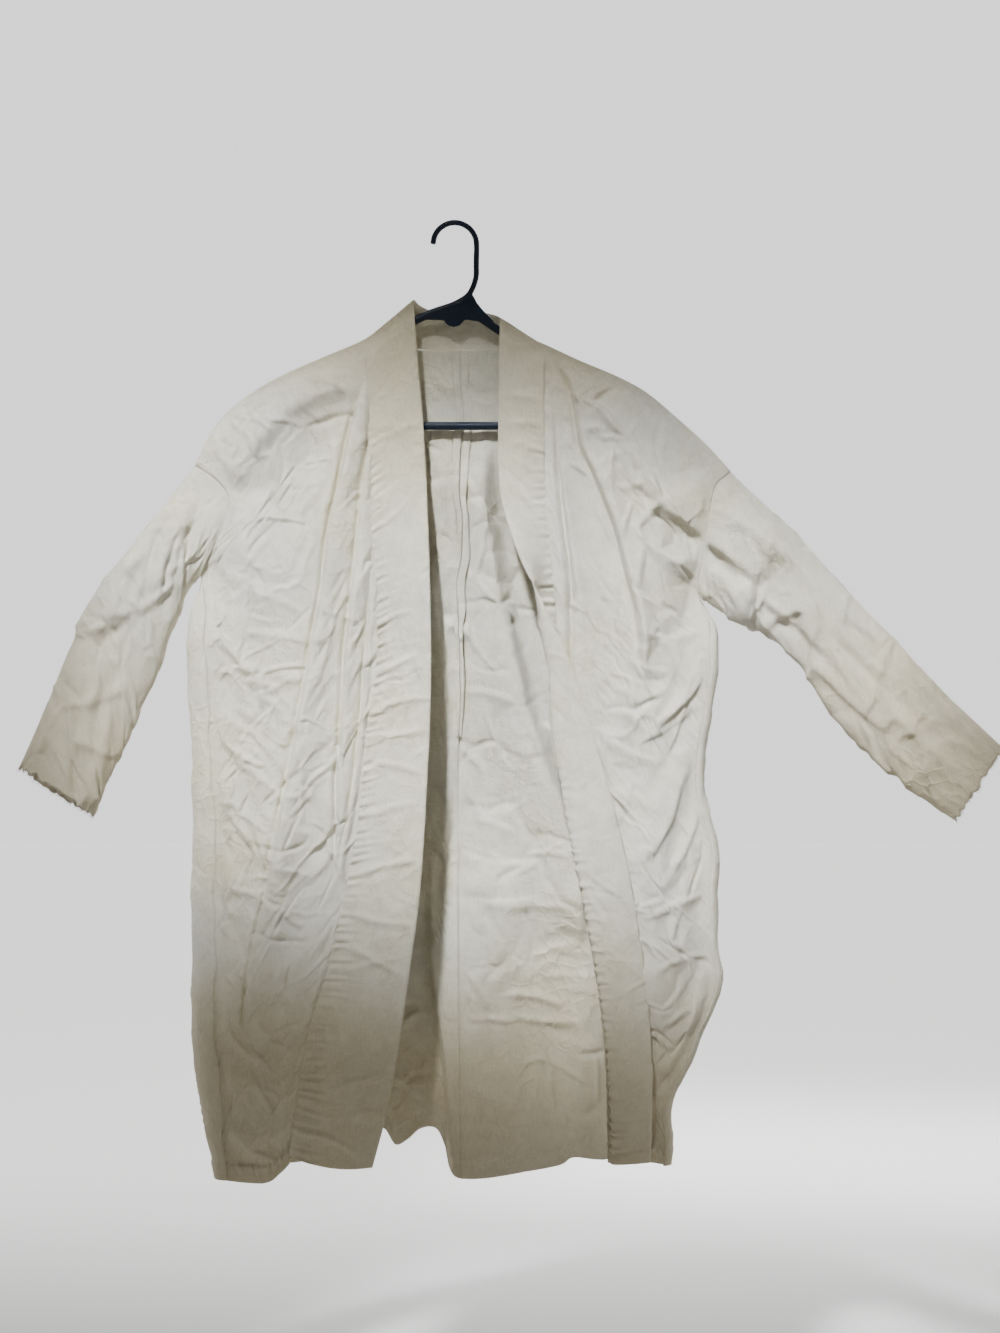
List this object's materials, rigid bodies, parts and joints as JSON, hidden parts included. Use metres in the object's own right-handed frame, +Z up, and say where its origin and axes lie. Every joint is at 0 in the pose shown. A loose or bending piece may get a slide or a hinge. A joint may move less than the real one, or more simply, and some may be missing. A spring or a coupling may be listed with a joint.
{
  "type": "smock coat on hanger",
  "caption": "Open-front cotton smock coat with a wide folded front band, hung on a one-piece moulded plastic hanger; the sleeves swing, the fronts open and the coat lifts off.",
  "frame": {"origin": "inside top of the hanger's hook, where a rail carries it", "axes": "+Z up, the coat's front faces -Y, +X to the right as seen from the front"},
  "size_m": [1.1541, 0.1387, 1.1264],
  "materials": {
    "cotton": "plain woven unbleached cotton, washed and creased, matt",
    "band_cotton": "the same cotton doubled and topstitched, puckered along the stitching",
    "hanger_plastic": "dark navy moulded plastic with a satin sheen"
  },
  "bodies": {
    "hanger": {"hanger": "hanger_plastic"},
    "coat": {"back_left": "cotton", "back_right": "cotton", "neck_band": "band_cotton"},
    "front_left": {"front_left": "cotton", "front_band_left": "band_cotton"},
    "front_right": {"front_right": "cotton", "front_band_right": "band_cotton"},
    "sleeve_left": {"sleeve_left": "cotton"},
    "sleeve_right": {"sleeve_right": "cotton"}
  },
  "joints": [
    {"name": "coat_lift", "type": "slide", "parent": "hanger", "child": "coat", "axis": [0, 0, 1], "range_m": [0, 1.15]},
    {"name": "left_front_open", "type": "hinge", "parent": "coat", "child": "front_left", "pos_m": [-0.277, -0.03, -0.7], "axis": [0, 0, -1], "range_deg": [0, 60]},
    {"name": "right_front_open", "type": "hinge", "parent": "coat", "child": "front_right", "pos_m": [0.276, -0.03, -0.7], "axis": [0, 0, 1], "range_deg": [0, 60]},
    {"name": "left_sleeve_raise", "type": "hinge", "parent": "coat", "child": "sleeve_left", "pos_m": [-0.298, 0, -0.268], "axis": [0, 1, 0], "range_deg": [0, 45]},
    {"name": "right_sleeve_raise", "type": "hinge", "parent": "coat", "child": "sleeve_right", "pos_m": [0.303, 0, -0.267], "axis": [0, -1, 0], "range_deg": [0, 35]}
  ]
}
